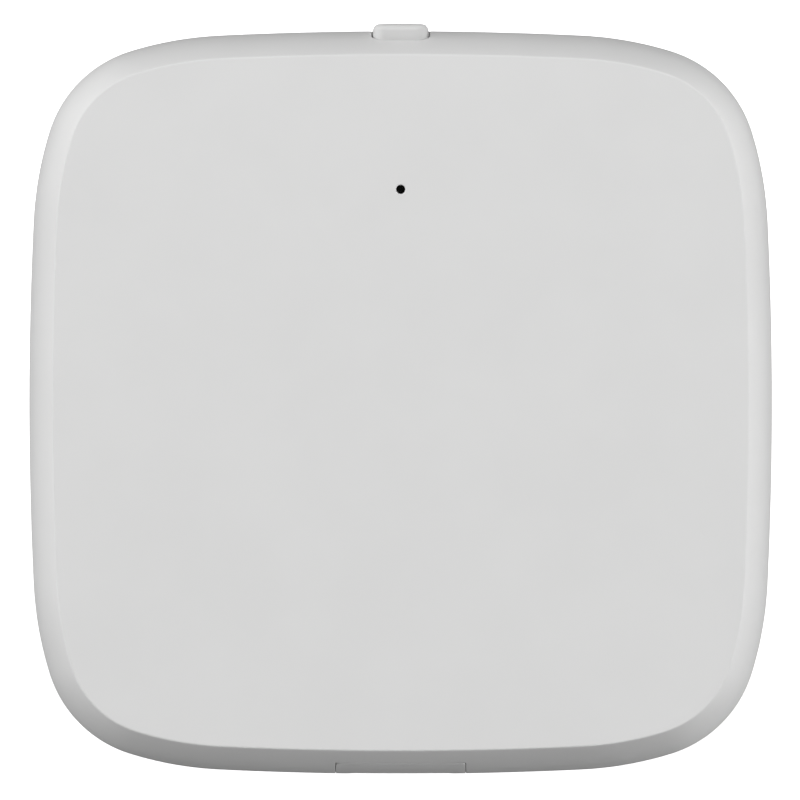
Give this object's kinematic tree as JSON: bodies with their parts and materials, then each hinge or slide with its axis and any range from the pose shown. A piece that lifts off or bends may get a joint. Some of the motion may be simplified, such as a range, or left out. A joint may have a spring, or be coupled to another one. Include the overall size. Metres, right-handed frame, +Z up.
{
  "type": "smart home hub",
  "caption": "Square, soft-cornered smart home hub that lies flat, with a push button in one side, a pinhole for its status light, a power socket and rubber feet.",
  "frame": {"origin": "centre line of the square case, at the height of the surface that the feet stand on", "axes": "+Z up through the flat face, +Y to the push button, -Y to the power socket"},
  "size_m": [0.065, 0.0656, 0.017],
  "materials": {
    "case_plastic": "fine-grained moulded ABS, light warm-neutral grey-white",
    "bezel_plastic": "fine-grained moulded ABS",
    "button_plastic": "fine-grained moulded ABS",
    "clear_guide": "polished clear polycarbonate",
    "board_laminate": "green solder mask",
    "module_laminate": "blue solder mask",
    "black_plastic": "glass-filled nylon",
    "plated_steel": "nickel-plated spring steel",
    "gold_contacts": "gold flash over copper alloy",
    "shield_metal": "tinned steel sheet",
    "led_package": "white package with phosphor",
    "ferrite": "moulded ferrite powder",
    "can_aluminium": "drawn aluminium can",
    "chip_moulding": "moulded epoxy with tinned leads",
    "ceramic": "fired ceramic with tinned ends",
    "resistor_body": "glazed ceramic with tinned ends",
    "screw_steel": "zinc-plated steel",
    "foot_rubber": "die-cut rubber foam, matt",
    "label_film": "blank satin polyester film"
  },
  "bodies": {
    "hub_case": {"front_cover": "case_plastic", "base_cover": "case_plastic", "port_bezel": "bezel_plastic", "light_pipe": "clear_guide", "main_board": "board_laminate", "switch_body": "black_plastic", "switch_frame": "plated_steel", "switch_dome": "plated_steel", "usb_shell": "plated_steel", "usb_tongue": "black_plastic", "usb_contacts": "gold_contacts", "wifi_module_board": "module_laminate", "wifi_module_shield": "shield_metal", "mesh_module_board": "module_laminate", "mesh_module_shield": "shield_metal", "status_led": "led_package", "power_inductor": "ferrite", "capacitor_base": "black_plastic", "capacitor_can": "can_aluminium", "crystal": "shield_metal", "voltage_regulator": "chip_moulding", "flash_chip": "chip_moulding", "ceramic_capacitors": "ceramic", "resistors": "resistor_body", "board_screws": "screw_steel", "case_screws": "screw_steel", "rubber_foot_socket_left": "foot_rubber", "rubber_foot_socket_right": "foot_rubber", "rubber_foot_button_left": "foot_rubber", "rubber_foot_button_right": "foot_rubber", "rating_label": "label_film"},
    "button": {"pair_button": "button_plastic"},
    "plunger": {"switch_plunger": "black_plastic"}
  },
  "joints": [
    {"name": "button_press", "type": "slide", "parent": "hub_case", "child": "button", "axis": [0, -1, 0], "range_m": [0, 0.00025], "stiffness_N_per_m": 6000, "deforming": ["switch_dome"]},
    {"name": "plunger_press", "type": "slide", "parent": "hub_case", "child": "plunger", "axis": [0, -1, 0], "range_m": [0, 0.00025], "deforming": ["switch_dome"]}
  ],
  "couplings": [
    {"joint": "plunger_press", "follows": "button_press", "ratio": 1}
  ]
}
